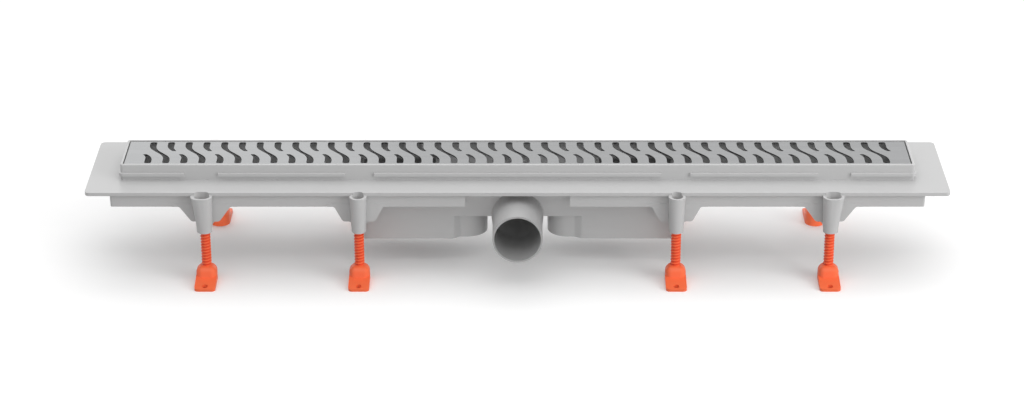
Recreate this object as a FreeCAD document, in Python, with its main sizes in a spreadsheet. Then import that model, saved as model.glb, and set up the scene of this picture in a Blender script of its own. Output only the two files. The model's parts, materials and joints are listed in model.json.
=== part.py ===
"""Linear shower channel drain: a moulded channel with a trap, a slotted grate and eight screw feet.

Frame: millimetres, +Z up, origin on the floor at the centre of the drain. X runs along the
channel and the outlet spigot points along -Y. Each sub-part is written to parts/NODE.step.
"""
import FreeCAD, Part
import os
import re
import Sketcher

Vector = FreeCAD.Vector

doc = FreeCAD.newDocument("channel_drain")

# ---------------------------------------------------------------- driving dimensions

SIZES = {
    # upstand rim and tiling flange
    "install_height": 93.4,      # floor to the top of the flange, with the feet as set
    "rim_length": 800,
    "rim_width": 64,
    "rim_height": 16.6,
    "flange_end_margin": 32.5,
    "flange_side_margin": 32,
    "flange_thickness": 3.5,
    "flange_corner": 5,
    "rim_wall": 2.5,
    "rim_corner": 3,
    "rim_edge": 1,               # rounding of the outer top edge
    "rib_lift": 4.3,             # flange to the underside of the sealing rib
    "rib_height": 3.7,
    "rib_reach": 2,
    "rib_edge": 0.8,
    "rib_gap_inner": 29.5,
    "rib_gap_outer": 34.2,
    "rib_gap_offset": 5.6,       # outer gaps lie this much further out than the feet
    # channel trough
    "trough_end_depth": 17.5,    # flange top to the floor, at the channel's ends
    "trough_fall": 9,            # drop of the floor from the ends to the trap
    "trough_floor": 2.5,
    "trap_seat_thickness": 3,
    "trap_seat_ledge": 4.5,      # how far the seat reaches in from the channel's walls
    "trap_seat_length": 168,
    "grate_rib_width": 2.4,
    "grate_rib_reach": 3,
    "grate_rib_first": 96,
    "grate_rib_pitch": 78,
    # stiffening skirt under the flange
    "skirt_end_setback": 24.5,
    "skirt_setback": 3,
    "skirt_depth": 16.6,
    "skirt_wall": 2.2,
    "skirt_draft": 1.5,
    "skirt_corner": 2.5,
    "skirt_gap": 105,            # opening in the front skirt round the outlet
    # leg sockets and their gussets
    "leg_end_distance": 86.8,    # rim's end to the outer legs
    "leg_spacing_inner": 318.3,
    "leg_outset": 3.4,           # flange's edge to the legs' axes
    "socket_drop": 2.4,
    "socket_depth": 40.5,
    "socket_turn_depth": 26,
    "socket_top_radius": 8.5,
    "socket_foot_radius": 7.15,
    "socket_oval": 4.5,
    "socket_turn_oval": 1.4,
    "socket_foot_oval": 1.1,
    "socket_mouth_radius": 6,
    "gusset_depth": 32.8,
    "gusset_top_outer": 25.6,
    "gusset_foot_outer": 14,
    "gusset_top_inner": 24.5,
    "gusset_foot_inner": 16.2,
    "gusset_corner": 4,
    "gusset_fillet": 3.5,
    "gusset_tongue_margin": 0.9, # how far the tongue shows beside the socket's foot
    # trap housing, its baffles and the outlet pipe
    "housing_length": 320,
    "housing_margin": 8,         # how far the housing is wider than the rim, each side
    "housing_depth": 36.6,
    "housing_wall": 2.5,
    "housing_corner": 6,
    "well_depth": 61.6,
    "well_gap": 61.4,            # clear width between the two wells
    "well_nose": 20.3,           # length of the rounded inner end of each well
    "well_step": 4.5,            # setback of the well's wall beside the outlet
    "well_step_x": 61.5,
    "well_step_run": 7,
    "baffle_spacing": 157.5,
    "baffle_depth": 54,
    "baffle_thickness": 2.5,
    "baffle_play": 0.15,
    "guide_wall": 1.6,           # thickness of the guides beside a baffle
    "guide_reach": 2,
    "guide_stop": 2,             # height of the stop that a baffle stands on
    "outlet_radius": 25,
    "outlet_wall": 1.8,
    "outlet_root_radius": 26.25,
    "outlet_axis_depth": 36,
    "outlet_reach": 97,
    "outlet_straight": 36,
    "outlet_tail": 24,           # how far the outlet's channel runs back past the centre
    "outlet_tail_round": 8,
    # grate
    "grate_gap": 1.2,
    "grate_thickness": 1.5,
    "grate_recess": 0.6,
    "grate_corner": 1,
    "slot_pitch": 36.36,
    "slot_margin": 1.8,          # grate's long edge to the ends of the slots
    "slot_head_width": 7,
    "slot_neck_width": 3.5,
    "slot_head_outer": 12.2,     # slot centre to the outer side of its head
    "slot_lean": 40,             # angle of the slot's neck
    "slot_crown": 2.4,
    "slot_outer_bend": 21,
    "slot_inner_bend": 23,
    "tear_inner_bend": 14,
    "tear_tip_y": 4,
    "tear_tip_round": 0.8,
    "tear_heel_round": 2,
    # removable trap insert and its seal
    "insert_length": 158,
    "insert_side_gap": 1.5,
    "insert_thickness": 3,
    "insert_corner": 5,
    "insert_skirt_gap": 0.6,
    "insert_skirt_wall": 2,
    "insert_skirt_depth": 10,
    "seal_thickness": 2,
    "grip_length": 44,
    "grip_width": 14,
    "grip_height": 8,
    "grip_bar": 3,
    # threaded rods
    "rod_radius": 5.1,
    "rod_clearance": 0.1,
    "rod_top_depth": 22,         # flange top to the rod's top
    "rod_chamfer": 1,
    "rod_slot_width": 1.6,
    "rod_slot_depth": 2.5,
    # feet
    "foot_height": 16.2,
    "foot_radius": 10.3,
    "foot_heel_round": 10,
    "foot_toe_reach": 30,
    "foot_toe_half": 10.5,
    "foot_toe_round": 4,
    "foot_toe_thickness": 2.6,
    "foot_crease_reach": 12,
    "foot_crease_height": 6.4,
    "foot_hood_reach": 9.4,
    "foot_hood_round": 6.3,
    "foot_floor": 3.5,
    "foot_hole_reach": 25,
    "foot_hole_radius": 2.9,
    "rod_foot_gap": 0.3,
    "overshoot": 1,              # how far cuts and joins run past the faces that they meet
}

TOUCH = 1e-4                     # two places closer than this are the same

# Heights and places that follow from the driving dimensions.
DERIVED = {
    "flange_length": "rim_length + 2 * flange_end_margin",
    "flange_width": "rim_width + 2 * flange_side_margin",
    "flange_under": "install_height - flange_thickness",
    "rim_top": "install_height + rim_height",
    "rim_inner_half": "rim_width / 2 - rim_wall",
    "rim_inner_end": "rim_length / 2 - rim_wall",
    "floor_end": "install_height - trough_end_depth",
    "floor_trap": "install_height - trough_end_depth - trough_fall",
    "skirt_foot": "install_height - skirt_depth",
    "skirt_length": "flange_length - 2 * skirt_end_setback",
    "skirt_half": "flange_width / 2 - skirt_setback",
    "socket_mouth": "install_height - socket_drop",
    "socket_foot": "install_height - socket_depth",
    "socket_turn": "install_height - socket_turn_depth",
    "leg_spacing_outer": "rim_length - 2 * leg_end_distance",
    "leg_y": "flange_width / 2 + leg_outset",
    "thread_radius": "rod_radius + rod_clearance",
    "gusset_foot": "install_height - gusset_depth",
    "housing_width": "rim_width + 2 * housing_margin",
    "housing_foot": "install_height - housing_depth",
    "housing_inner_half": "housing_width / 2 - housing_wall",
    "housing_inner_end": "housing_length / 2 - housing_wall",
    "baffle_foot": "install_height - baffle_depth",
    "outlet_axis": "install_height - outlet_axis_depth",
    "seat_top": "flange_under",
    "seat_foot": "flange_under - trap_seat_thickness",
    "seat_hole_half": "rim_inner_half - trap_seat_ledge",
    "seat_hole_end": "trap_seat_length / 2 - 2 * trap_seat_ledge",
    "insert_width": "2 * (rim_inner_half - insert_side_gap)",
    "seal_top": "seat_top + seal_thickness",
    "insert_top": "seal_top + insert_thickness",
    "grate_top": "rim_top - grate_recess",
    "grate_under": "grate_top - grate_thickness",
    "grate_half_length": "rim_inner_end - grate_gap",
    "grate_half_width": "rim_inner_half - grate_gap",
    "grate_rib_count": "floor((rim_inner_end - grate_rib_first) / grate_rib_pitch) + 1",
    "slot_half_span": "grate_half_width - slot_margin",
    "slot_count": "floor(2 * (grate_half_length - slot_head_outer) / slot_pitch)",
    "rod_top": "install_height - rod_top_depth",
    "rod_foot": "foot_floor + rod_foot_gap",
}

sheet = doc.addObject("Spreadsheet::Sheet", "sizes")
for row, (alias, value) in enumerate(SIZES.items(), start=1):
    sheet.set(f"A{row}", alias)
    sheet.set(f"B{row}", str(value))
    sheet.setAlias(f"B{row}", alias)
doc.recompute()


def tie(text):
    """The expression with every derived name written out and every size tied to the sheet."""
    def swap(match):
        word = match.group(0)
        if word in DERIVED:
            return "(" + tie(DERIVED[word]) + ")"
        return "sizes." + word if word in SIZES else word
    return re.sub(r"[a-z_][a-z_0-9]*", swap, str(text))


probe = doc.addObject("App::FeaturePython", "probe")
probe.addProperty("App::PropertyFloat", "reading")


def value_of(text):
    """The number that an expression in the sheet's names gives, read through the probe."""
    probe.setExpression("reading", tie(text))
    probe.recompute()
    return probe.reading


# ---------------------------------------------------------------- feature helpers

def new_body(label):
    body = doc.addObject("PartDesign::Body", label)
    body.Label = label
    return body


def origin_part(body, role):
    return next(o for o in body.Origin.OriginFeatures if o.Role == role)


def new_sketch(body, name, plane, offset="0", lift="0"):
    """A sketch on an origin plane, moved along its normal by offset and along its own y by lift."""
    sketch = body.newObject("Sketcher::SketchObject", name)
    sketch.AttachmentSupport = (origin_part(body, plane), "")
    sketch.MapMode = "FlatFace"
    sketch.setExpression(".AttachmentOffset.Base.z", tie(offset))
    sketch.setExpression(".AttachmentOffset.Base.y", tie(lift))
    return sketch


def bound(sketch, constraint, name, expression):
    """Add a driving constraint and tie its value to the sheet."""
    index = sketch.addConstraint(constraint)
    sketch.renameConstraint(index, name)
    sketch.setExpression("Constraints." + name, tie(expression))


def add_loop(sketch, key, corners):
    """A closed outline from (x, y, radius) expressions: straight sides, each corner rounded by its radius."""
    points = [Vector(value_of(x), value_of(y), 0) for x, y, _ in corners]
    radii = [value_of(radius) for _, _, radius in corners]
    count = len(corners)
    starts, ends, arcs = [], [], []
    for i, point in enumerate(points):
        back = (points[i - 1] - point).normalize()
        ahead = (points[(i + 1) % count] - point).normalize()
        half = back.getAngle(ahead) / 2
        reach = radii[i] / abs(tangent(half))
        ends.append(point + back * reach)
        starts.append(point + ahead * reach)
        middle = (back + ahead).normalize()
        inset = (radii[i] ** 2 + reach ** 2) ** 0.5 - radii[i]
        arcs.append(point + middle * inset if radii[i] else None)
    sides = []
    for i in range(count):
        sides.append(sketch.addGeometry(Part.LineSegment(starts[i], ends[(i + 1) % count]), False))
    for i, (x, y, radius) in enumerate(corners):
        before, after = sides[i - 1], sides[i]
        if arcs[i] is None:
            sketch.addConstraint(Sketcher.Constraint("Coincident", before, 2, after, 1))
            corner, end = after, 1
        else:
            arc = sketch.addGeometry(Part.Arc(ends[i], arcs[i], starts[i]), False)
            clockwise = (points[i] - points[i - 1]).cross(points[(i + 1) % count] - points[i]).z < 0
            first, last = (2, 1) if clockwise else (1, 2)
            sketch.addConstraint(Sketcher.Constraint("Tangent", before, 2, arc, first))
            sketch.addConstraint(Sketcher.Constraint("Tangent", arc, last, after, 1))
            bound(sketch, Sketcher.Constraint("Radius", arc, radii[i]), f"{key}{i}_r", radius)
            corner, end = sketch.addGeometry(Part.Point(points[i]), True), 1
            sketch.addConstraint(Sketcher.Constraint("PointOnObject", corner, end, before))
            sketch.addConstraint(Sketcher.Constraint("PointOnObject", corner, end, after))
        bound(sketch, Sketcher.Constraint("DistanceX", -1, 1, corner, end, points[i].x), f"{key}{i}_x", x)
        bound(sketch, Sketcher.Constraint("DistanceY", -1, 1, corner, end, points[i].y), f"{key}{i}_y", y)


def tangent(angle):
    """Tangent of an angle in radians."""
    turned = FreeCAD.Rotation(Vector(0, 0, 1), Radian=angle).multVec(Vector(1, 0, 0))
    return turned.y / turned.x


def add_circle(sketch, key, x, y, radius):
    centre = Vector(value_of(x), value_of(y), 0)
    circle = sketch.addGeometry(Part.Circle(centre, Vector(0, 0, 1), value_of(radius)), False)
    bound(sketch, Sketcher.Constraint("DistanceX", -1, 1, circle, 3, centre.x), key + "_x", x)
    bound(sketch, Sketcher.Constraint("DistanceY", -1, 1, circle, 3, centre.y), key + "_y", y)
    bound(sketch, Sketcher.Constraint("Radius", circle, value_of(radius)), key + "_r", radius)


def rectangle(half_x, half_y, radius="0", x="0", y="0"):
    """Corners of a rectangle about (x, y)."""
    low_x, high_x = f"{x} - ({half_x})", f"{x} + ({half_x})"
    low_y, high_y = f"{y} - ({half_y})", f"{y} + ({half_y})"
    return [(low_x, low_y, radius), (high_x, low_y, radius),
            (high_x, high_y, radius), (low_x, high_y, radius)]


def span(low_x, low_y, high_x, high_y, radius="0"):
    """Corners of a rectangle between two opposite corners."""
    return [(low_x, low_y, radius), (high_x, low_y, radius),
            (high_x, high_y, radius), (low_x, high_y, radius)]


def outline(body, name, plane, loops, offset="0", lift="0"):
    """A sketch of several closed loops."""
    sketch = new_sketch(body, name, plane, offset, lift)
    for i, corners in enumerate(loops):
        add_loop(sketch, f"loop{i}_", corners)
    doc.recompute()
    return sketch


def extrude(body, kind, name, sketch, length, down=False, both=False, taper=None):
    """A Pad or Pocket of a sketch; down reverses it and both spreads it about the sketch's plane."""
    feature = body.newObject("PartDesign::" + kind, name)
    feature.Profile = sketch
    feature.setExpression("Length", tie(length))
    feature.Reversed = down
    if both:
        feature.Midplane = True
    if taper:
        feature.setExpression("TaperAngle", tie(taper))
    sketch.Visibility = False
    doc.recompute()
    return feature


def pad(body, name, sketch, length, **options):
    return extrude(body, "Pad", name, sketch, length, **options)


def pocket(body, name, sketch, length, **options):
    """A Pocket that must take material away."""
    before = body.Shape.Volume
    feature = extrude(body, "Pocket", name, sketch, length, **options)
    if feature.Shape.Volume >= before:
        raise RuntimeError(name + " cuts nothing")
    return feature


def loft(body, kind, name, sketches):
    feature = body.newObject("PartDesign::" + kind, name)
    feature.Profile = sketches[0]
    feature.Sections = sketches[1:]
    feature.Ruled = True
    doc.recompute()
    return feature


def repeated(body, name, originals, row=None, planes=()):
    """Copies of features in a row along X, given as (spacing, count), and then across origin planes."""
    multi = body.newObject("PartDesign::MultiTransform", name)
    multi.Originals = originals
    steps = []
    if row:
        spacing, count = row
        line = doc.addObject("PartDesign::LinearPattern", name + "_row")
        line.Direction = (origin_part(body, "X_Axis"), [""])
        line.setExpression("Length", tie(f"({spacing}) * ({count} - 1)"))
        line.setExpression("Occurrences", tie(count))
        steps.append(line)
    for plane in planes:
        mirror = doc.addObject("PartDesign::Mirrored", name + "_" + plane)
        mirror.MirrorPlane = (origin_part(body, plane), [""])
        steps.append(mirror)
    for step in steps:
        body.addObject(step)
    multi.Transformations = steps
    body.Tip = multi
    doc.recompute()


def rounded(body, name, chosen, radius):
    """Fillet the edges of the body's tip that chosen(edge) picks."""
    base = body.Tip
    names = [f"Edge{i}" for i, edge in enumerate(base.Shape.Edges, start=1) if chosen(edge)]
    feature = body.newObject("PartDesign::Fillet", name)
    feature.Base = (base, names)
    feature.setExpression("Radius", tie(radius))
    doc.recompute()
    return feature


def at_height(edge, z):
    """Whether an edge lies level at the height z."""
    box = edge.BoundBox
    return abs(box.ZMin - z) < TOUCH and abs(box.ZMax - z) < TOUCH


# ---------------------------------------------------------------- channel body

def legs():
    """The two legs of one quarter: name, place along X and the gusset's half widths."""
    return [
        ("outer", "leg_spacing_outer / 2", "gusset_top_outer", "gusset_foot_outer"),
        ("inner", "leg_spacing_inner / 2", "gusset_top_inner", "gusset_foot_inner"),
    ]


def slot_section(body, name, height, x, radius, oval):
    """A level section of a leg socket: round, or drawn out to an oval away from the centre."""
    sketch = new_sketch(body, name, "XY_Plane", offset=height)
    if oval is None:
        add_circle(sketch, "ring", x, "-leg_y", radius)
    else:
        add_oval(sketch, x, "-leg_y", radius, oval)
    doc.recompute()
    return sketch


def add_oval(sketch, x, y, radius, length):
    """Two half circles joined by straight sides; the oval runs from x outwards by length."""
    left, right = Vector(value_of(x), value_of(y), 0), Vector(value_of(f"{x} + {length}"), value_of(y), 0)
    reach = Vector(0, value_of(radius), 0)
    side = Vector(value_of(radius), 0, 0)
    low = sketch.addGeometry(Part.LineSegment(left - reach, right - reach), False)
    nose = sketch.addGeometry(Part.Arc(right - reach, right + side, right + reach), False)
    high = sketch.addGeometry(Part.LineSegment(right + reach, left + reach), False)
    tail = sketch.addGeometry(Part.Arc(left + reach, left - side, left - reach), False)
    for first, second in ((low, nose), (nose, high), (high, tail), (tail, low)):
        sketch.addConstraint(Sketcher.Constraint("Tangent", first, 2, second, 1))
    sketch.addConstraint(Sketcher.Constraint("Horizontal", low))
    bound(sketch, Sketcher.Constraint("Radius", tail, reach.y), "end_r", radius)
    bound(sketch, Sketcher.Constraint("DistanceX", -1, 1, tail, 3, left.x), "tail_x", x)
    bound(sketch, Sketcher.Constraint("DistanceY", -1, 1, tail, 3, left.y), "tail_y", y)
    bound(sketch, Sketcher.Constraint("DistanceX", -1, 1, nose, 3, right.x), "nose_x", f"{x} + {length}")


def gusset_outline(x, top, foot):
    """The web under the skirt that carries a socket, with a narrow tongue down the socket's back."""
    tongue = "socket_foot_radius + gusset_tongue_margin"
    half = [
        (f"{top} + 2 * gusset_fillet", "skirt_foot + flange_thickness", "0"),
        (f"{top} + 2 * gusset_fillet", "skirt_foot", "0"),
        (top, "skirt_foot", "gusset_fillet"),
        (foot, "gusset_foot", "gusset_corner"),
        (tongue, "gusset_foot", "gusset_fillet"),
        (f"{tongue} - overshoot", "socket_foot + gusset_corner", "0"),
    ]
    right = [(f"{x} + ({dx})", z, radius) for dx, z, radius in half]
    left = [(f"{x} - ({dx})", z, radius) for dx, z, radius in reversed(half)]
    return right + left


def build_skirt(body):
    ring = outline(body, "skirt_outline", "XY_Plane",
                   [rectangle("skirt_length / 2", "skirt_half", "skirt_corner")], offset="flange_under")
    pad(body, "skirt_block", ring, "skirt_depth - flange_thickness", down=True, taper="-skirt_draft")
    hollow = outline(body, "skirt_hollow", "XY_Plane",
                     [rectangle("skirt_length / 2 - skirt_wall", "skirt_half - skirt_wall")],
                     offset="flange_under")
    pocket(body, "skirt_inside", hollow, "skirt_depth")
    gap = outline(body, "skirt_gap_outline", "XY_Plane",
                  [span("-skirt_gap / 2", "-flange_width / 2", "skirt_gap / 2", "0")],
                  offset="flange_under")
    pocket(body, "skirt_opening", gap, "skirt_depth")


def build_flange(body):
    plate = outline(body, "flange_outline", "XY_Plane",
                    [rectangle("flange_length / 2", "flange_width / 2", "flange_corner")],
                    offset="install_height")
    pad(body, "flange", plate, "flange_thickness", down=True)


def build_rim(body):
    band = outline(body, "rib_outline", "XY_Plane",
                   [rectangle("rim_length / 2 + rib_reach", "rim_width / 2 + rib_reach",
                              "rim_corner + rib_reach")], offset="install_height + rib_lift")
    pad(body, "sealing_rib", band, "rib_height")
    low, high = "install_height + rib_lift", "install_height + rib_lift + rib_height"
    inner, outer = "leg_spacing_inner / 2", "leg_spacing_outer / 2 + rib_gap_offset"
    gaps = []
    for x, width in ((inner, "rib_gap_inner"), (outer, "rib_gap_outer")):
        for side in ("-", ""):
            gaps.append(span(f"{side}({x}) - {width} / 2", low, f"{side}({x}) + {width} / 2", high))
    cuts = outline(body, "rib_gap_outline", "XZ_Plane", gaps)
    pocket(body, "rib_gaps", cuts, "flange_width", both=True)
    reach = value_of("rim_width / 2 + rib_reach")
    top = value_of(high)
    rounded(body, "rib_edges",
            lambda e: at_height(e, top) and abs(abs(e.BoundBox.Center.y) - reach) < TOUCH, "rib_edge")
    block = outline(body, "rim_outline", "XY_Plane",
                    [rectangle("rim_length / 2", "rim_width / 2", "rim_corner")], offset="flange_under")
    pad(body, "rim_block", block, "rim_height + flange_thickness")
    rim_top = value_of("rim_top")
    rounded(body, "rim_edges", lambda e: at_height(e, rim_top), "rim_edge")


def build_trough(body):
    shells, under = [], "flange_under + overshoot"
    for side in ("-", ""):
        near, far = f"{side}housing_length / 2", f"{side}rim_length / 2"
        shells.append([(near, under, "0"), (near, "floor_trap - trough_floor", "0"),
                       (far, "floor_end - trough_floor", "0"), (far, under, "0")])
    shell = outline(body, "trough_outline", "XZ_Plane", shells)
    pad(body, "trough", shell, "rim_width", both=True)
    inside = outline(body, "channel_outline", "XZ_Plane", [[
        ("-rim_inner_end", "rim_top + rim_height", "0"), ("-rim_inner_end", "floor_end", "0"),
        ("-housing_length / 2", "floor_trap", "0"), ("housing_length / 2", "floor_trap", "0"),
        ("rim_inner_end", "floor_end", "0"), ("rim_inner_end", "rim_top + rim_height", "0")]])
    pocket(body, "channel_inside", inside, "2 * rim_inner_half", both=True)


def build_trap_seat(body):
    frame = outline(body, "seat_outline", "XY_Plane",
                    [rectangle("trap_seat_length / 2", "housing_inner_half"),
                     rectangle("seat_hole_end", "seat_hole_half", "insert_corner")], offset="seat_top")
    pad(body, "trap_seat", frame, "trap_seat_thickness", down=True)


def build_grate_ribs(body):
    rib = outline(body, "grate_rib_outline", "XY_Plane",
                  [span("grate_rib_first", "-rim_inner_half - rim_wall / 2",
                        "grate_rib_first + grate_rib_width", "-rim_inner_half + grate_rib_reach")],
                  offset="flange_under")
    first = pad(body, "grate_rib", rib, "grate_under - flange_under")
    repeated(body, "grate_ribs", [first], ("grate_rib_pitch", "grate_rib_count"), ["YZ_Plane", "XZ_Plane"])


def build_sockets(body):
    """Gussets, sockets and bores of one quarter, then mirrored to all four."""
    features = []
    webs = outline(body, "gusset_outlines", "XZ_Plane",
                   [gusset_outline(x, top, foot) for _, x, top, foot in legs()],
                   offset="skirt_half - skirt_wall")
    features.append(pad(body, "gussets", webs, "skirt_wall"))
    for name, x, _, _ in legs():
        oval = name == "outer"
        sections = [("socket_mouth", "socket_top_radius", "socket_oval"),
                    ("socket_turn", "(socket_top_radius + socket_foot_radius) / 2", "socket_turn_oval"),
                    ("socket_foot", "socket_foot_radius", "socket_foot_oval")]
        if not oval:
            sections = [(z, r, None) for z, r, _ in (sections[0], sections[2])]
        sketches = [slot_section(body, f"socket_{name}_{i}", z, x, r, o)
                    for i, (z, r, o) in enumerate(sections)]
        features.append(loft(body, "AdditiveLoft", "socket_" + name, sketches))
    for name, x, _, _ in legs():
        oval = name == "outer"
        mouth = [("install_height", "socket_mouth_radius", "socket_oval"),
                 ("socket_turn", "thread_radius", "socket_foot_oval / 2")]
        if not oval:
            mouth = [(z, r, None) for z, r, _ in mouth]
        sketches = [slot_section(body, f"mouth_{name}_{i}", z, x, r, o)
                    for i, (z, r, o) in enumerate(mouth)]
        features.append(loft(body, "SubtractiveLoft", "mouth_" + name, sketches))
        bore = new_sketch(body, "bore_circle_" + name, "XY_Plane", offset="socket_turn + overshoot")
        add_circle(bore, "bore", x, "-leg_y", "thread_radius")
        doc.recompute()
        features.append(pocket(body, "bore_" + name, bore, "install_height"))
    repeated(body, "all_sockets", features, planes=["YZ_Plane", "XZ_Plane"])


def build_channel_body():
    body = new_body("channel_body")
    build_skirt(body)
    build_flange(body)
    build_rim(body)
    build_trough(body)
    build_trap_seat(body)
    build_grate_ribs(body)
    build_sockets(body)
    return body


# ---------------------------------------------------------------- trap housing

def well_outline(side, inset):
    """One water well in plan: flush walls, a small step back and a rounded nose beside the outlet."""
    far = f"{side}(housing_length / 2 - {inset})"
    step_far = f"{side}(well_step_x + well_step_run / 2 - {inset} / 2)"
    step_near = f"{side}(well_step_x - well_step_run / 2 - {inset} / 2)"
    nose = f"{side}(well_gap / 2 + {inset})"
    deep, shallow = f"(housing_width / 2 - {inset})", f"(housing_width / 2 - {inset} - well_step)"
    corners = [
        (far, "-" + deep, "housing_corner - " + inset),
        (step_far, "-" + deep, "well_step"),
        (step_near, "-" + shallow, "well_step"),
        (nose, "-" + shallow, "well_nose"),
        (nose, shallow, "well_nose"),
        (step_near, shallow, "well_step"),
        (step_far, deep, "well_step"),
        (far, deep, "housing_corner - " + inset),
    ]
    return corners if side == "-" else list(reversed(corners))


def turned(body, kind, name, corners):
    """A Revolution or Groove about the outlet's axis, from corners along the axis and out from it."""
    profile = new_sketch(body, name + "_profile", "YZ_Plane", lift="outlet_axis")
    add_loop(profile, name + "_", corners)
    doc.recompute()
    feature = body.newObject("PartDesign::" + kind, name)
    feature.Profile = profile
    feature.ReferenceAxis = (profile, ["H_Axis"])
    feature.Angle = 360
    doc.recompute()


def baffle_plates(play):
    """The level outlines of both baffles, smaller than their slots by the play."""
    return [rectangle(f"baffle_thickness / 2 + baffle_play - {play}", f"housing_inner_half - {play}",
                      x=f"{side}baffle_spacing / 2") for side in ("-", "")]


def build_baffle_guides(body):
    """Grooved guides on the side walls that the baffles slide into, down to a stop."""
    half_width = "baffle_thickness / 2 + baffle_play + guide_wall"
    half_depth = "guide_reach / 2 + housing_wall / 4"
    centre = "housing_inner_half + housing_wall / 4 - guide_reach / 2"
    guides = [rectangle(half_width, half_depth, x=f"{side}baffle_spacing / 2", y=f"{wall}({centre})")
              for side in ("-", "") for wall in ("-", "")]
    blocks = outline(body, "guide_outlines", "XY_Plane", guides, offset="seat_foot")
    pad(body, "guides", blocks, "seat_foot - baffle_foot + guide_stop", down=True)
    grooves = outline(body, "guide_grooves_outline", "XY_Plane", baffle_plates("0"), offset="seat_foot")
    pocket(body, "guide_grooves", grooves, "seat_foot - baffle_foot")


def build_trap_housing():
    body = new_body("trap_housing")
    box = outline(body, "housing_outline", "XY_Plane",
                  [rectangle("housing_length / 2", "housing_width / 2", "housing_corner")],
                  offset="flange_under")
    pad(body, "housing_block", box, "housing_depth - flange_thickness", down=True)
    wells = outline(body, "well_outlines", "XY_Plane", [well_outline("-", "0"), well_outline("", "0")],
                    offset="housing_foot + housing_wall")
    pad(body, "well_blocks", wells, "well_depth - housing_depth + housing_wall", down=True)
    turned(body, "Revolution", "outlet_trough", [
        ("-housing_inner_half", "0", "0"), ("-housing_inner_half", "outlet_root_radius", "0"),
        ("outlet_tail", "outlet_root_radius", "outlet_tail_round"), ("outlet_tail", "0", "0")])
    room = outline(body, "housing_hollow", "XY_Plane",
                   [rectangle("housing_inner_end", "housing_inner_half", "housing_corner - housing_wall")],
                   offset="flange_under")
    pocket(body, "housing_inside", room, "housing_depth - flange_thickness - housing_wall")
    hollow = outline(body, "well_hollows", "XY_Plane",
                     [well_outline("-", "housing_wall"), well_outline("", "housing_wall")],
                     offset="housing_foot + housing_wall")
    pocket(body, "well_insides", hollow, "well_depth - housing_depth")
    turned(body, "Groove", "outlet_hollow", [
        ("-housing_width / 2 - overshoot", "0", "0"),
        ("-housing_width / 2 - overshoot", "outlet_root_radius", "0"),
        ("-housing_inner_half", "outlet_root_radius", "0"),
        ("-housing_inner_half", "outlet_root_radius - outlet_wall", "0"),
        ("outlet_tail - outlet_wall", "outlet_root_radius - outlet_wall", "outlet_tail_round - outlet_wall"),
        ("outlet_tail - outlet_wall", "0", "0")])
    window = outline(body, "window_outline", "YZ_Plane",
                     [span("-rim_inner_half", "floor_trap", "rim_inner_half", "install_height")])
    pocket(body, "trough_windows", window, "housing_length + housing_wall", both=True)
    build_baffle_guides(body)
    return body


def build_outlet_pipe():
    """The outlet pipe: a straight spigot that widens to the root set in the housing's front wall."""
    body = new_body("outlet_pipe")
    outside = [("-outlet_reach", "outlet_radius"), ("-outlet_reach + outlet_straight", "outlet_radius"),
               ("-housing_width / 2", "outlet_root_radius"), ("-housing_inner_half", "outlet_root_radius")]
    inside = [(y, f"{radius} - outlet_wall") for y, radius in reversed(outside)]
    turned(body, "Revolution", "pipe_wall", [(y, radius, "0") for y, radius in outside + inside])
    return body


def build_baffle(label, index):
    """A plate that dips into one well and keeps the water seal."""
    body = new_body(label)
    plate = outline(body, label + "_outline", "XY_Plane", [baffle_plates("baffle_play")[index]],
                    offset="seat_foot - baffle_play")
    pad(body, label + "_plate", plate, "seat_foot - baffle_play - baffle_foot", down=True)
    return body


# ---------------------------------------------------------------- grate

def neck_x(y, side):
    """Where the slot's leaning neck has one of its edges at the height y."""
    return f"({side} * slot_neck_width / 2 / cos(slot_lean) - ({y}) * tan(slot_lean))"


def neck_y(x, side):
    """The height at which one edge of the leaning neck crosses x."""
    return f"(({side} * slot_neck_width / 2 / cos(slot_lean) - ({x})) / tan(slot_lean))"


def turned_round(corners):
    """The same corners turned half a turn about the slot's centre."""
    return [(f"-({x})", f"-({y})", radius) for x, y, radius in corners]


def moved(corners, dx):
    return [(f"{x} + ({dx})", y, radius) for x, y, radius in corners]


def slot_head():
    """The head's corners, from its outer bend over the crown to its inner bend."""
    outer, inner = "-slot_head_outer", "slot_head_width - slot_head_outer"
    return [
        (outer, neck_y(outer, -1), "slot_outer_bend"),
        (outer, "slot_half_span", "slot_crown"),
        (inner, "slot_half_span", "slot_crown"),
        (inner, neck_y(inner, 1), "slot_inner_bend"),
    ]


def long_slot():
    return slot_head() + turned_round(slot_head())


def short_slot():
    """A teardrop: the long slot's head, closed by a small tip."""
    head = slot_head()
    head[3] = (head[3][0], head[3][1], "tear_inner_bend")
    tip = (neck_x("tear_tip_y", 1), "tear_tip_y", "tear_tip_round")
    heel = (neck_x("tear_tip_y", -1), "tear_tip_y", "tear_heel_round")
    return head + [tip, heel]


def build_grate():
    body = new_body("grate")
    sheet_outline = outline(body, "grate_outline", "XY_Plane",
                            [rectangle("grate_half_length", "grate_half_width", "grate_corner")],
                            offset="grate_top")
    pad(body, "grate_plate", sheet_outline, "grate_thickness", down=True)
    start = "-slot_pitch * (slot_count - 1) / 2"
    group = [moved(long_slot(), start),
             moved(short_slot(), f"{start} + slot_pitch / 2"),
             moved(turned_round(short_slot()), f"{start} - slot_pitch / 2")]
    slots = outline(body, "slot_outlines", "XY_Plane", group, offset="grate_top")
    first = pocket(body, "slots", slots, "2 * grate_thickness")
    repeated(body, "slot_row", [first], ("slot_pitch", "slot_count"))
    return body


# ---------------------------------------------------------------- trap insert and seal

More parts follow.
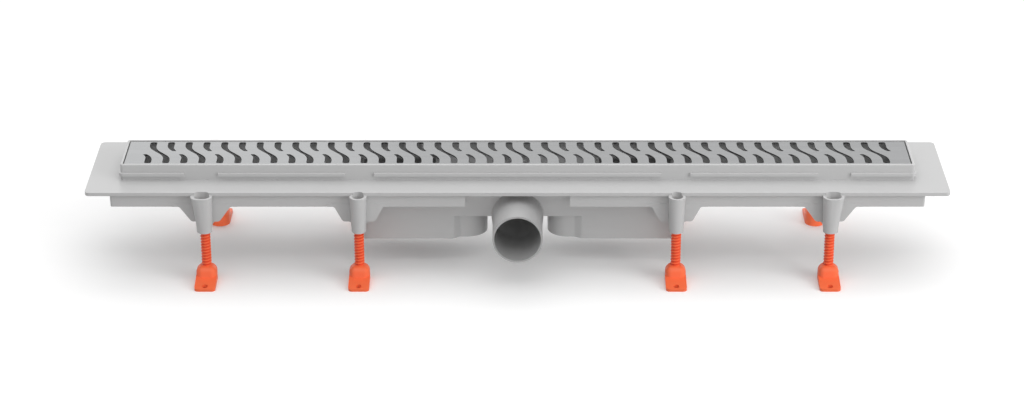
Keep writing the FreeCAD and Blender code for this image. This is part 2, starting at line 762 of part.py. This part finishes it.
def build_insert_seal():
    body = new_body("insert_seal")
    ring = outline(body, "seal_outline", "XY_Plane",
                   [rectangle("insert_length / 2", "insert_width / 2", "insert_corner"),
                    rectangle("seat_hole_end", "seat_hole_half", "insert_corner")], offset="seat_top")
    pad(body, "seal", ring, "seal_thickness")
    return body


def build_trap_insert():
    body = new_body("trap_insert")
    plate = outline(body, "insert_outline", "XY_Plane",
                    [rectangle("insert_length / 2", "insert_width / 2", "insert_corner")],
                    offset="seal_top")
    pad(body, "insert_plate", plate, "insert_thickness")
    outer_x, outer_y = "seat_hole_end - insert_skirt_gap", "seat_hole_half - insert_skirt_gap"
    collar = outline(body, "insert_skirt_outline", "XY_Plane",
                     [rectangle(outer_x, outer_y, "insert_corner"),
                      rectangle(f"{outer_x} - insert_skirt_wall", f"{outer_y} - insert_skirt_wall",
                                "insert_corner - insert_skirt_wall")], offset="seal_top")
    pad(body, "insert_skirt", collar, "insert_skirt_depth", down=True)
    grip = outline(body, "grip_outline", "XZ_Plane", [
        span("-grip_length / 2", "insert_top", "grip_length / 2", "insert_top + grip_height", "0")])
    pad(body, "grip_block", grip, "grip_width", both=True)
    finger = outline(body, "grip_window", "XZ_Plane", [
        span("-grip_length / 2 + grip_bar", "insert_top", "grip_length / 2 - grip_bar",
             "insert_top + grip_height - grip_bar")])
    pocket(body, "grip_opening", finger, "insert_width", both=True)
    return body


# ---------------------------------------------------------------- threaded rods and feet

def place(body, x, y, turn):
    """Stand a leg's piece on its place, turned about the leg's axis."""
    body.Placement.Rotation = FreeCAD.Rotation(Vector(0, 0, 1), turn)
    body.setExpression(".Placement.Base.x", tie(x))
    body.setExpression(".Placement.Base.y", tie(y))
    doc.recompute()


def build_rod(label):
    """A rod with a chamfered top and a screwdriver slot."""
    body = new_body(label)
    profile = new_sketch(body, label + "_profile", "XZ_Plane")
    add_loop(profile, "rod_", [
        ("0", "rod_foot", "0"), ("rod_radius", "rod_foot", "0"),
        ("rod_radius", "rod_top - rod_chamfer", "0"),
        ("rod_radius - rod_chamfer", "rod_top", "0"), ("0", "rod_top", "0")])
    doc.recompute()
    rod = body.newObject("PartDesign::Revolution", label + "_rod")
    rod.Profile = profile
    rod.ReferenceAxis = (profile, ["V_Axis"])
    rod.Angle = 360
    doc.recompute()
    groove = outline(body, label + "_slot_outline", "XY_Plane",
                     [rectangle("2 * rod_radius", "rod_slot_width / 2")], offset="rod_top")
    pocket(body, label + "_slot", groove, "rod_slot_depth")
    return body


def build_foot(label):
    """A foot: a domed hood round the rod's end, and a toe with a screw hole."""
    body = new_body(label)
    plan = outline(body, label + "_plan", "XY_Plane", [[
        ("-foot_toe_half", "-foot_toe_reach", "foot_toe_round"),
        ("foot_toe_half", "-foot_toe_reach", "foot_toe_round"),
        ("foot_radius", "foot_radius", "foot_heel_round"),
        ("-foot_radius", "foot_radius", "foot_heel_round")]])
    pad(body, label + "_block", plan, "foot_height")
    side = outline(body, label + "_side", "YZ_Plane", [[
        ("-foot_toe_reach - overshoot", "foot_toe_thickness", "0"),
        ("-foot_toe_reach", "foot_toe_thickness", "0"),
        ("-foot_crease_reach", "foot_crease_height", "0"),
        ("-foot_hood_reach", "foot_height", "0"),
        ("-foot_hood_reach", "foot_height + overshoot", "0"),
        ("-foot_toe_reach - overshoot", "foot_height + overshoot", "0")]])
    pocket(body, label + "_toe", side, "4 * foot_toe_half", both=True)
    top, crease = value_of("foot_height"), value_of("foot_crease_height")

    def of_the_hood(edge):
        """The hood's top edges and its two front corners."""
        box = edge.BoundBox
        corner = box.YMax < 0 and box.ZMax > top - TOUCH and box.ZMin > crease - TOUCH
        return at_height(edge, top) or corner

    rounded(body, label + "_hood", of_the_hood, "foot_hood_round")
    well = new_sketch(body, label + "_rod_hole", "XY_Plane", offset="foot_height")
    add_circle(well, "rod", "0", "0", "thread_radius")
    doc.recompute()
    pocket(body, label + "_rod_bore", well, "foot_height - foot_floor")
    hole = new_sketch(body, label + "_screw_circle", "XY_Plane", offset="foot_height")
    add_circle(hole, "screw", "0", "-foot_hole_reach", "foot_hole_radius")
    doc.recompute()
    pocket(body, label + "_screw_hole", hole, "2 * foot_height")
    return body


def build_legs():
    """Eight rods and feet; the feet of both rows point away from the drain."""
    pieces = []
    for row, y, turn in (("front", "-leg_y", 0), ("rear", "leg_y", 180)):
        for place_name, x, _, _ in legs():
            for side, sign in (("left", "-"), ("right", "")):
                tag = f"{row}_{place_name}_{side}"
                for build, kind in ((build_rod, "rod_"), (build_foot, "foot_")):
                    piece = build(kind + tag)
                    place(piece, f"{sign}({x})", y, turn)
                    pieces.append(piece)
    return pieces


# ---------------------------------------------------------------- build, check and write

parts = [build_channel_body(), build_trap_housing(), build_outlet_pipe(), build_baffle("baffle_left", 0),
         build_baffle("baffle_right", 1), build_grate(), build_insert_seal(), build_trap_insert()]
parts += build_legs()
doc.recompute()

for item in doc.Objects:
    if {"Invalid", "Error"} & set(item.State):
        raise RuntimeError(f"{item.Name}: {item.State}")
for part in parts:
    if part.Shape.isNull() or not part.Shape.isValid():
        raise RuntimeError(part.Label + " has no valid shape")

os.makedirs("parts", exist_ok=True)
for part in parts:
    part.Shape.exportStep(f"parts/{part.Label}.step")
    print(part.Label, len(part.Shape.Solids), round(part.Shape.Volume))
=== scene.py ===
"""Looks of the linear shower drain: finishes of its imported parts, threaded legs, room and camera."""
import json
import math

import bpy
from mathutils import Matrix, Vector

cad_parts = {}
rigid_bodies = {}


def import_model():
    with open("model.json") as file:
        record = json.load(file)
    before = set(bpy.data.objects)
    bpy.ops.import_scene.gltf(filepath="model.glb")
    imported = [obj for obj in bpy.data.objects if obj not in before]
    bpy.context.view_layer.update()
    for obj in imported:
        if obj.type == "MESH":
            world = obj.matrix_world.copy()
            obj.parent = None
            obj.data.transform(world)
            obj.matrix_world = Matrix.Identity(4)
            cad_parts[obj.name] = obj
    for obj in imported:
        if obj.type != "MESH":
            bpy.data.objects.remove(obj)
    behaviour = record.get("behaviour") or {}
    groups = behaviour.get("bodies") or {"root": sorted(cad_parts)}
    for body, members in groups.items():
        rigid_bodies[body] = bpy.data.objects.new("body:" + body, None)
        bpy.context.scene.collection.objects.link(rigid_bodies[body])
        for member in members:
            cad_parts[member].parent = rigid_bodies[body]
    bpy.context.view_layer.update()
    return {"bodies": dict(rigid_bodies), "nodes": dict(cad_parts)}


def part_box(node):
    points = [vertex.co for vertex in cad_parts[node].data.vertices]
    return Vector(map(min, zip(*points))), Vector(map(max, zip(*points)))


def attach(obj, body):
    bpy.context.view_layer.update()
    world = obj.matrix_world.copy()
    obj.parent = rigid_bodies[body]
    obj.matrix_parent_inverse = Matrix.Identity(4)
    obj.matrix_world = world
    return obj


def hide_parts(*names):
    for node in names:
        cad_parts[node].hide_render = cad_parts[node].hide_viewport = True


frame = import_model()

MM = 0.001

# ---------------------------------------------------------------- driving values

# leg threads
THREAD_PITCH = 3.25 * MM
THREAD_DEPTH = 1.15 * MM
THREAD_PLAY = 0.02 * MM          # how far the crests stay inside the plain rod
THREAD_LAND = 0.3                # share of the pitch that the crest and the root each stay level
THREAD_ROWS = 12                 # rings of the mesh in one turn
THREAD_SIDES = 40
ROD_CHAMFER = 1.0 * MM
SLOT_WIDTH = 1.6 * MM
SLOT_DEPTH = 2.5 * MM
SMALLEST_STEP = 0.01 * MM        # nearer than this to an end counts as the end itself
WELD_GAP = 0.002 * MM            # points nearer than this are one
GROOVE = "groove"                # the thread's mesh says here how deep in the groove a point lies
GROOVE_LIMIT = 1.2               # deeper than this share of the thread is a cut end, not a groove

# finishes
HOUSING_GREY = (0.56, 0.56, 0.56)
HOUSING_ROUGHNESS = 0.32
INSERT_GREY = (0.50, 0.50, 0.505)
INSERT_ROUGHNESS = 0.45
SEAL_BLACK = (0.035, 0.035, 0.037)
SEAL_ROUGHNESS = 0.7
SEAL_CLOUDINESS = 0.3
LEG_ORANGE = (1.0, 0.17, 0.06)
LEG_ROUGHNESS = 0.42
# painted shade: the colour that the thread's orange is multiplied by deep in its grooves
GROOVE_PAINTED_SHADE = (0.85, 0.42, 0.3)
GRAIN_STRENGTH = 0.12
GRAIN_HEIGHT = 0.2 * MM
STEEL_DARK = (0.34, 0.345, 0.35)
STEEL_LIGHT = (0.40, 0.405, 0.41)
STEEL_ROUGHNESS = (0.16, 0.24)   # in the dark lines and in the light ones
BRUSH_SPAN = (0.3, 0.7)          # the part of the brush noise that the tones run over
BRUSH_LINES = (12, 1400, 300)    # how often the fine lines change along x, y and z, per metre
BRUSH_BANDS = (5, 220, 60)       # the same for the broad bands
LINES_SHARE = 0.6                # what the fine lines add; the bands add the rest
BRUSH_STRENGTH = 0.15
BRUSH_HEIGHT = 0.05 * MM

# camera
CAMERA_PLACE = Vector((0, -2.5824, 1.2359))
CAMERA_PITCH = 24.65             # degrees below the horizon
CAMERA_LENS = 97.45
CAMERA_SENSOR = 36
CAMERA_SHIFT = -0.0054
CAMERA_REACH = 100               # how far the camera sees

# room
FLOOR_SIZE = 30
FLOOR_ROUGHNESS = 0.9
HORIZON = 0.13                   # sky light from the sides, as a share of white
ZENITH = 1.16                    # sky light from straight above
BOUNCE = 0.45                    # how much of its light the floor gives back to the object
FLOOR_GLOW = 0.06                # keeps the floor white between the lamps
WHITE = (1.0, 1.0, 1.0, 1)

# Lamps: place, target, size, power; "spares" names parts that a lamp leaves out, "only" the first
# letters of the parts that it is kept to, and a lamp that isn't mirrored shows in no reflection.
LAMPS = {
    "overhead": {
        "place": (0, 1.4, 2.4), "target": (0, 0, 0.1), "size": (3.4, 1.6), "power": 11,
        "spares": ("outlet_pipe",)},
    "front_strip": {
        "place": (0, -1.5, 2.4), "target": (0, 0, 0.1), "size": (2.4, 0.12), "power": 3.4},
    "left_panel": {
        "place": (-1.46, 3.0, 1.42), "target": (-1.46, 0, 1.3), "size": (2.28, 1.6), "power": 3},
    "right_fill": {
        "place": (2.6, -1.6, 1.0), "target": (0.2, 0, 0.1), "size": (2.0, 1.4), "power": 45,
        "mirrored": False, "spares": ("trap_housing", "outlet_pipe")},
    "housing_fill": {
        "place": (0.5, -2.6, 0.5), "target": (0, 0, 0.05), "size": (2.4, 0.8), "power": 14.5,
        "mirrored": False, "only": "trap_housing"},
    "back_row_fill": {
        "place": (0, -1.5, 0.3), "target": (0, 0.08, 0.01), "size": (2.4, 0.3), "power": 12,
        "only": "foot_rear"},
}


# ---------------------------------------------------------------- node helpers

def feed(tree, socket, value):
    """Set a socket to a value, or link it to another socket."""
    if isinstance(value, bpy.types.NodeSocket):
        tree.links.new(value, socket)
    else:
        socket.default_value = value


def add_node(tree, kind, inputs=None, **settings):
    """A new node with its settings made and its inputs set or linked."""
    made = tree.nodes.new(kind)
    for name, value in settings.items():
        setattr(made, name, value)
    for key, value in (inputs or {}).items():
        feed(tree, made.inputs[key], value)
    return made


def add_math(tree, operation, *values):
    """The result of a Math node."""
    return add_node(tree, "ShaderNodeMath", dict(enumerate(values)), operation=operation).outputs[0]


def new_group(name, kind, inputs, outputs):
    """A node group with named inputs (name, type, default) and outputs (name, type)."""
    tree = bpy.data.node_groups.new(name, kind)
    for label, socket_type, value in inputs:
        socket = tree.interface.new_socket(label, in_out="INPUT", socket_type=socket_type)
        if value is not None:
            socket.default_value = value
    for label, socket_type in outputs:
        tree.interface.new_socket(label, in_out="OUTPUT", socket_type=socket_type)
    return tree, tree.nodes.new("NodeGroupInput").outputs, tree.nodes.new("NodeGroupOutput").inputs


# ---------------------------------------------------------------- shared surface effects

def moulded_surface_group():
    """Injection moulded plastic: a faintly cloudy tone and a fine spark-eroded grain."""
    tree, given, out = new_group(
        "moulded_surface", "ShaderNodeTree",
        [("Color", "NodeSocketColor", None), ("Cloud Size", "NodeSocketFloat", 30.0),
         ("Cloudiness", "NodeSocketFloat", 0.05), ("Grain Size", "NodeSocketFloat", 1800.0),
         ("Roughness", "NodeSocketFloat", 0.45), ("Roughness Spread", "NodeSocketFloat", 0.1)],
        [("Color", "NodeSocketColor"), ("Roughness", "NodeSocketFloat"), ("Height", "NodeSocketFloat")])
    place = add_node(tree, "ShaderNodeTexCoord").outputs["Object"]
    cloud = add_node(tree, "ShaderNodeTexNoise",
                     {"Vector": place, "Scale": given["Cloud Size"], "Detail": 3.0, "Roughness": 0.6})
    grain = add_node(tree, "ShaderNodeTexNoise",
                     {"Vector": place, "Scale": given["Grain Size"], "Detail": 2.0, "Roughness": 0.5})
    centred = add_math(tree, "SUBTRACT", cloud.outputs["Fac"], 0.5)
    tone = add_math(tree, "MULTIPLY_ADD", centred, given["Cloudiness"], 1.0)
    tinted = add_node(tree, "ShaderNodeVectorMath", {0: given["Color"]}, operation="SCALE")
    feed(tree, tinted.inputs["Scale"], tone)
    feed(tree, out["Color"], tinted.outputs["Vector"])
    spread = add_math(tree, "MULTIPLY_ADD", centred, given["Roughness Spread"], given["Roughness"])
    feed(tree, out["Roughness"], spread)
    feed(tree, out["Height"], grain.outputs["Fac"])
    return tree


def new_material(name):
    """A material with an empty Principled shader: (material, tree, shader)."""
    material = bpy.data.materials.new(name)
    material.use_nodes = True
    tree = material.node_tree
    return material, tree, tree.nodes["Principled BSDF"]


def moulded_material(name, group, color, roughness, **values):
    """A plastic or rubber finish from the shared moulded surface."""
    material, tree, shader = new_material(name)
    surface = add_node(tree, "ShaderNodeGroup", node_tree=group)
    surface.inputs["Color"].default_value = (*color, 1)
    surface.inputs["Roughness"].default_value = roughness
    for key, value in values.items():
        surface.inputs[key].default_value = value
    bump = add_node(tree, "ShaderNodeBump", {
        "Height": surface.outputs["Height"], "Strength": GRAIN_STRENGTH, "Distance": GRAIN_HEIGHT})
    feed(tree, shader.inputs["Base Color"], surface.outputs["Color"])
    feed(tree, shader.inputs["Roughness"], surface.outputs["Roughness"])
    feed(tree, shader.inputs["Normal"], bump.outputs["Normal"])
    return material


def paint_groove_shade(material, tint):
    """Darken a thread's grooves with painted shade, which stands in for the shade where only light off
    the thread itself gets in.
    """
    tree = material.node_tree
    shader = tree.nodes["Principled BSDF"]
    plain = shader.inputs["Base Color"].links[0].from_socket
    tinted = add_node(tree, "ShaderNodeMix", data_type="RGBA", blend_type="MULTIPLY")
    groove = add_node(tree, "ShaderNodeAttribute", attribute_name=GROOVE)
    feed(tree, tinted.inputs["Factor"], groove.outputs["Fac"])
    feed(tree, tinted.inputs["A"], plain)
    feed(tree, tinted.inputs["B"], (*tint, 1))
    feed(tree, shader.inputs["Base Color"], tinted.outputs["Result"])


def brushed_steel_material():
    """Stainless sheet, brushed along the channel."""
    material, tree, shader = new_material("brushed_steel")
    place = add_node(tree, "ShaderNodeTexCoord").outputs["Object"]
    fine = add_node(tree, "ShaderNodeMapping", {"Vector": place, "Scale": BRUSH_LINES})
    lines = add_node(tree, "ShaderNodeTexNoise", {
        "Vector": fine.outputs["Vector"], "Scale": 1.0, "Detail": 3.0, "Roughness": 0.65})
    broad = add_node(tree, "ShaderNodeMapping", {"Vector": place, "Scale": BRUSH_BANDS})
    bands = add_node(tree, "ShaderNodeTexNoise", {
        "Vector": broad.outputs["Vector"], "Scale": 1.0, "Detail": 2.0, "Roughness": 0.5})
    both = add_math(tree, "ADD", add_math(tree, "MULTIPLY", lines.outputs["Fac"], LINES_SHARE),
                    add_math(tree, "MULTIPLY", bands.outputs["Fac"], 1 - LINES_SHARE))
    ramp = add_node(tree, "ShaderNodeValToRGB", {"Fac": both})
    for stop, position, tone in zip(ramp.color_ramp.elements, BRUSH_SPAN, (STEEL_DARK, STEEL_LIGHT)):
        stop.position = position
        stop.color = (*tone, 1)
    rough = add_node(tree, "ShaderNodeMapRange", {
        "Value": both, "From Min": BRUSH_SPAN[0], "From Max": BRUSH_SPAN[1],
        "To Min": STEEL_ROUGHNESS[0], "To Max": STEEL_ROUGHNESS[1]})
    bump = add_node(tree, "ShaderNodeBump", {
        "Height": lines.outputs["Fac"], "Strength": BRUSH_STRENGTH, "Distance": BRUSH_HEIGHT})
    feed(tree, shader.inputs["Base Color"], ramp.outputs["Color"])
    feed(tree, shader.inputs["Roughness"], rough.outputs["Result"])
    feed(tree, shader.inputs["Normal"], bump.outputs["Normal"])
    shader.inputs["Metallic"].default_value = 1.0
    return material


# ---------------------------------------------------------------- threaded rods

def thread_tree():
    """A rod with a coarse thread, drawn as one skin from the middle of its foot to that of its top."""
    tree, given, out = new_group(
        "threaded_rod", "GeometryNodeTree",
        [("Geometry", "NodeSocketGeometry", None), ("Place", "NodeSocketVector", None),
         ("Length", "NodeSocketFloat", 0.06), ("Crest Radius", "NodeSocketFloat", 0.005),
         ("Depth", "NodeSocketFloat", 0.001), ("Pitch", "NodeSocketFloat", 0.003),
         ("Land", "NodeSocketFloat", 0.3), ("Rings", "NodeSocketInt", 200),
         ("Sides", "NodeSocketInt", 40), ("Chamfer", "NodeSocketFloat", 0.001),
         ("Slot Width", "NodeSocketFloat", 0.0016), ("Slot Depth", "NodeSocketFloat", 0.0025),
         ("Material", "NodeSocketMaterial", None)],
        [("Geometry", "NodeSocketGeometry")])

    def math_node(operation, *values):
        return add_math(tree, operation, *values)

    # the skin, still flat: x runs along the rod, y once round it
    grid = add_node(tree, "GeometryNodeMeshGrid", {
        "Size X": given["Length"], "Size Y": 2 * math.pi,
        "Vertices X": given["Rings"], "Vertices Y": math_node("ADD", given["Sides"], 1)})
    spot = add_node(tree, "ShaderNodeSeparateXYZ", {
        0: add_node(tree, "GeometryNodeInputPosition").outputs[0]})
    along, angle = spot.outputs["X"], spot.outputs["Y"]
    half = math_node("MULTIPLY", given["Length"], 0.5)
    height = math_node("ADD", along, half)
    from_middle = math_node("ABSOLUTE", along)

    # the thread: the share of a turn at this point, folded so that 0 is the crest and 1 the root
    turns = math_node("SUBTRACT", math_node("DIVIDE", height, given["Pitch"]),
                      math_node("DIVIDE", angle, 2 * math.pi))
    half_land = math_node("MULTIPLY", given["Land"], 0.5)
    flank = add_node(tree, "ShaderNodeMapRange", {
        "Value": math_node("PINGPONG", turns, 0.5), "From Min": half_land,
        "From Max": math_node("SUBTRACT", 0.5, half_land)}, interpolation_type="SMOOTHSTEP")
    sunk = math_node("MULTIPLY", flank.outputs["Result"], given["Depth"])
    threaded = math_node("SUBTRACT", given["Crest Radius"], sunk)

    # both ends: a chamfer, then a flat that closes on the axis
    to_end = math_node("SUBTRACT", half, from_middle)
    cone = math_node("ADD", math_node("SUBTRACT", given["Crest Radius"], given["Chamfer"]), to_end)
    off_end = math_node("GREATER_THAN", to_end, SMALLEST_STEP)
    radius = math_node("MULTIPLY", math_node("MINIMUM", threaded, cone), off_end)

    # the last ring but one moves to the end's own height, which makes that flat level
    ring_gap = math_node("DIVIDE", given["Length"], math_node("SUBTRACT", given["Rings"], 1))
    by_end = math_node("GREATER_THAN", from_middle,
                       math_node("SUBTRACT", half, math_node("MULTIPLY", ring_gap, 1.5)))
    edge_ring = math_node("MULTIPLY", by_end, off_end)
    lift = math_node("MULTIPLY", math_node("MULTIPLY", edge_ring, to_end), math_node("SIGN", along))

    around = add_node(tree, "ShaderNodeCombineXYZ", {
        "X": math_node("MULTIPLY", radius, math_node("COSINE", angle)),
        "Y": math_node("MULTIPLY", radius, math_node("SINE", angle)),
        "Z": math_node("ADD", height, lift)})
    placed = add_node(tree, "ShaderNodeVectorMath", {0: around.outputs[0], 1: given["Place"]},
                      operation="ADD")
    shaped = add_node(tree, "GeometryNodeSetPosition", {
        "Geometry": grid.outputs["Mesh"], "Position": placed.outputs["Vector"]})
    closed = add_node(tree, "GeometryNodeMergeByDistance", {
        "Geometry": shaped.outputs["Geometry"], "Distance": WELD_GAP})

    # the screwdriver slot across the top
    rise = add_node(tree, "ShaderNodeCombineXYZ", {"Z": given["Length"]})
    top = add_node(tree, "ShaderNodeVectorMath", {0: given["Place"], 1: rise.outputs[0]},
                   operation="ADD")
    blade_size = add_node(tree, "ShaderNodeCombineXYZ", {
        "X": math_node("MULTIPLY", given["Crest Radius"], 4.0), "Y": given["Slot Width"],
        "Z": math_node("MULTIPLY", given["Slot Depth"], 2.0)})
    blade = add_node(tree, "GeometryNodeMeshCube", {"Size": blade_size.outputs[0]})
    cutter = add_node(tree, "GeometryNodeTransform", {
        "Geometry": blade.outputs["Mesh"], "Translation": top.outputs["Vector"]})
    cut = add_node(tree, "GeometryNodeMeshBoolean", {
        "Mesh 1": closed.outputs["Geometry"], "Mesh 2": cutter.outputs["Geometry"]},
        operation="DIFFERENCE", solver="EXACT")

    # how deep in the thread each point lies, which the finish darkens there as painted shade
    from_place = add_node(tree, "ShaderNodeVectorMath", {
        0: add_node(tree, "GeometryNodeInputPosition").outputs[0], 1: given["Place"]},
        operation="SUBTRACT")
    level_part = add_node(tree, "ShaderNodeVectorMath", {
        0: from_place.outputs["Vector"], 1: (1, 1, 0)}, operation="MULTIPLY")
    from_axis = add_node(tree, "ShaderNodeVectorMath", {0: level_part.outputs["Vector"]},
                         operation="LENGTH").outputs["Value"]
    below = math_node("DIVIDE", math_node("SUBTRACT", given["Crest Radius"], from_axis), given["Depth"])
    groove = math_node("MULTIPLY", math_node("MAXIMUM", below, 0.0),
                       math_node("LESS_THAN", below, GROOVE_LIMIT))
    marked = add_node(tree, "GeometryNodeStoreNamedAttribute", {
        "Geometry": cut.outputs["Mesh"], "Name": GROOVE}, data_type="FLOAT", domain="POINT")
    feed(tree, marked.inputs["Value"], groove)

    flat = add_node(tree, "GeometryNodeSetShadeSmooth", {
        "Geometry": marked.outputs["Geometry"], "Shade Smooth": False})
    real = add_node(tree, "GeometryNodeRealizeInstances", {"Geometry": flat.outputs["Geometry"]})
    dressed = add_node(tree, "GeometryNodeSetMaterial", {
        "Geometry": real.outputs["Geometry"], "Material": given["Material"]})
    feed(tree, out["Geometry"], dressed.outputs["Geometry"])
    return tree


def set_inputs(modifier, tree, values):
    """Set a modifier's named inputs by their sockets' identifiers."""
    for item in tree.interface.items_tree:
        if item.item_type == "SOCKET" and item.in_out == "INPUT" and item.name in values:
            modifier[item.identifier] = values[item.name]


def grown(name, tree, values):
    """A plain mesh object that a geometry node tree makes from its named values."""
    seed = bpy.data.objects.new(name + "_seed", bpy.data.meshes.new(name + "_seed"))
    bpy.context.scene.collection.objects.link(seed)
    modifier = seed.modifiers.new("grow", "NODES")
    modifier.node_group = tree
    set_inputs(modifier, tree, values)
    graph = bpy.context.evaluated_depsgraph_get()
    mesh = bpy.data.meshes.new_from_object(seed.evaluated_get(graph), depsgraph=graph)
    mesh.name = name
    bpy.data.objects.remove(seed)
    piece = bpy.data.objects.new(name, mesh)
    bpy.context.scene.collection.objects.link(piece)
    return piece


def make_threaded_rods(material):
    """A threaded rod in place of each plain one."""
    tree = thread_tree()
    for body in sorted(frame["bodies"]):
        if not body.startswith("screw_"):
            continue
        tag = body[len("screw_"):]
        low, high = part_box("rod_" + tag)
        length = high.z - low.z
        rod = grown("thread_" + tag, tree, {
            "Place": ((low.x + high.x) / 2, (low.y + high.y) / 2, low.z), "Length": length,
            "Crest Radius": (high.x - low.x) / 2 - THREAD_PLAY, "Depth": THREAD_DEPTH,
            "Pitch": THREAD_PITCH, "Land": THREAD_LAND,
            "Rings": round(length / THREAD_PITCH * THREAD_ROWS), "Sides": THREAD_SIDES,
            "Chamfer": ROD_CHAMFER, "Slot Width": SLOT_WIDTH, "Slot Depth": SLOT_DEPTH,
            "Material": material})
        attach(rod, body)
        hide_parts("rod_" + tag)


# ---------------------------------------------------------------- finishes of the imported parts

def dress(node, material):
    """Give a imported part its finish."""
    part = frame["nodes"][node]
    part.data.materials.clear()
    part.data.materials.append(material)


def dress_parts():
    """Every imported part's finish, and the threads on the legs."""
    group = moulded_surface_group()
    body = moulded_material("body_plastic", group, HOUSING_GREY, HOUSING_ROUGHNESS)
    insert = moulded_material("insert_plastic", group, INSERT_GREY, INSERT_ROUGHNESS)
    seal = moulded_material("seal_rubber", group, SEAL_BLACK, SEAL_ROUGHNESS,
                            Cloudiness=SEAL_CLOUDINESS)
    leg = moulded_material("leg_plastic", group, LEG_ORANGE, LEG_ROUGHNESS)
    thread = moulded_material("thread_plastic", group, LEG_ORANGE, LEG_ROUGHNESS)
    # painted shade in the thread's grooves
    paint_groove_shade(thread, GROOVE_PAINTED_SHADE)
    steel = brushed_steel_material()
    for node in ("channel_body", "trap_housing", "outlet_pipe", "baffle_left", "baffle_right"):
        dress(node, body)
    dress("trap_insert", insert)
    dress("insert_seal", seal)
    dress("grate", steel)
    for node in frame["nodes"]:
        if node.startswith(("foot_", "rod_")):
            dress(node, leg)
    make_threaded_rods(thread)


# ---------------------------------------------------------------- floor, light and camera

def seen_directly(tree):
    """1 for camera, glossy and transmission rays, which see the plain white room."""
    path = add_node(tree, "ShaderNodeLightPath").outputs
    either = add_math(tree, "MAXIMUM", path["Is Camera Ray"], path["Is Glossy Ray"])
    return add_math(tree, "MAXIMUM", either, path["Is Transmission Ray"])


def make_floor():
    """A pale floor that keeps the drain's shadow and looks white to the camera."""
    half = FLOOR_SIZE / 2
    mesh = bpy.data.meshes.new("floor")
    mesh.from_pydata([(-half, -half, 0), (half, -half, 0), (half, half, 0), (-half, half, 0)], [],
                     [(0, 1, 2, 3)])
    floor = bpy.data.objects.new("floor", mesh)
    bpy.context.scene.collection.objects.link(floor)
    material, tree, shader = new_material("floor_white")
    shader.inputs["Roughness"].default_value = FLOOR_ROUGHNESS
    shader.inputs["Specular IOR Level"].default_value = 0.0
    tint = add_node(tree, "ShaderNodeMix", data_type="RGBA")
    feed(tree, tint.inputs["Factor"], seen_directly(tree))
    feed(tree, tint.inputs["A"], (BOUNCE, BOUNCE, BOUNCE, 1))
    feed(tree, tint.inputs["B"], WHITE)
    feed(tree, shader.inputs["Base Color"], tint.outputs["Result"])
    shader.inputs["Emission Color"].default_value = WHITE
    glow = add_math(tree, "MULTIPLY", seen_directly(tree), FLOOR_GLOW)
    feed(tree, shader.inputs["Emission Strength"], glow)
    mesh.materials.append(material)


def make_sky():
    """White for every ray that sees it directly, and soft light, mostly from above, for the object."""
    world = bpy.data.worlds.new("studio")
    bpy.context.scene.world = world
    world.use_nodes = True
    tree = world.node_tree
    back = tree.nodes["Background"]
    way = add_node(tree, "ShaderNodeSeparateXYZ", {
        0: add_node(tree, "ShaderNodeTexCoord").outputs["Generated"]})
    dome = add_node(tree, "ShaderNodeMapRange", {
        "Value": way.outputs["Z"], "From Min": 0.0, "From Max": 1.0,
        "To Min": HORIZON, "To Max": ZENITH})
    strength = add_node(tree, "ShaderNodeMix", data_type="FLOAT")
    feed(tree, strength.inputs["Factor"], seen_directly(tree))
    feed(tree, strength.inputs["A"], dome.outputs["Result"])
    feed(tree, strength.inputs["B"], 1.0)
    feed(tree, back.inputs["Strength"], strength.outputs["Result"])
    back.inputs["Color"].default_value = WHITE


def link_parts(lamp, nodes, state):
    """Let a lamp reach only some parts (INCLUDE), or all but some (EXCLUDE)."""
    linked = bpy.data.collections.new(lamp.name + "_parts")
    for node in nodes:
        linked.objects.link(frame["nodes"][node])
    for entry in linked.collection_objects:
        entry.light_linking.link_state = state
    lamp.light_linking.receiver_collection = linked


def add_lamp(name, place, target, size, power, mirrored=True, spares=(), only=None):
    """A soft box that faces its target."""
    light = bpy.data.lights.new(name, "AREA")
    light.shape = "RECTANGLE"
    light.size, light.size_y = size
    light.energy = power
    lamp = bpy.data.objects.new(name, light)
    lamp.location = place
    lamp.rotation_euler = (Vector(target) - Vector(place)).to_track_quat("-Z", "Y").to_euler()
    lamp.visible_glossy = mirrored
    bpy.context.scene.collection.objects.link(lamp)
    if spares:
        link_parts(lamp, spares, "EXCLUDE")
    if only:
        link_parts(lamp, [node for node in frame["nodes"] if node.startswith(only)], "INCLUDE")


def make_camera():
    """In front of the outlet, looking down at the drain."""
    data = bpy.data.cameras.new("camera")
    data.sensor_fit = "HORIZONTAL"
    data.sensor_width = CAMERA_SENSOR
    data.lens = CAMERA_LENS
    data.shift_x = CAMERA_SHIFT
    data.clip_end = CAMERA_REACH
    camera = bpy.data.objects.new("camera", data)
    camera.location = CAMERA_PLACE
    camera.rotation_euler = (math.radians(90 - CAMERA_PITCH), 0, 0)
    bpy.context.scene.collection.objects.link(camera)
    bpy.context.scene.camera = camera


dress_parts()
make_floor()
make_sky()
for lamp_name, lamp_values in LAMPS.items():
    add_lamp(lamp_name, **lamp_values)
make_camera()
bpy.context.scene.view_settings.view_transform = "Standard"
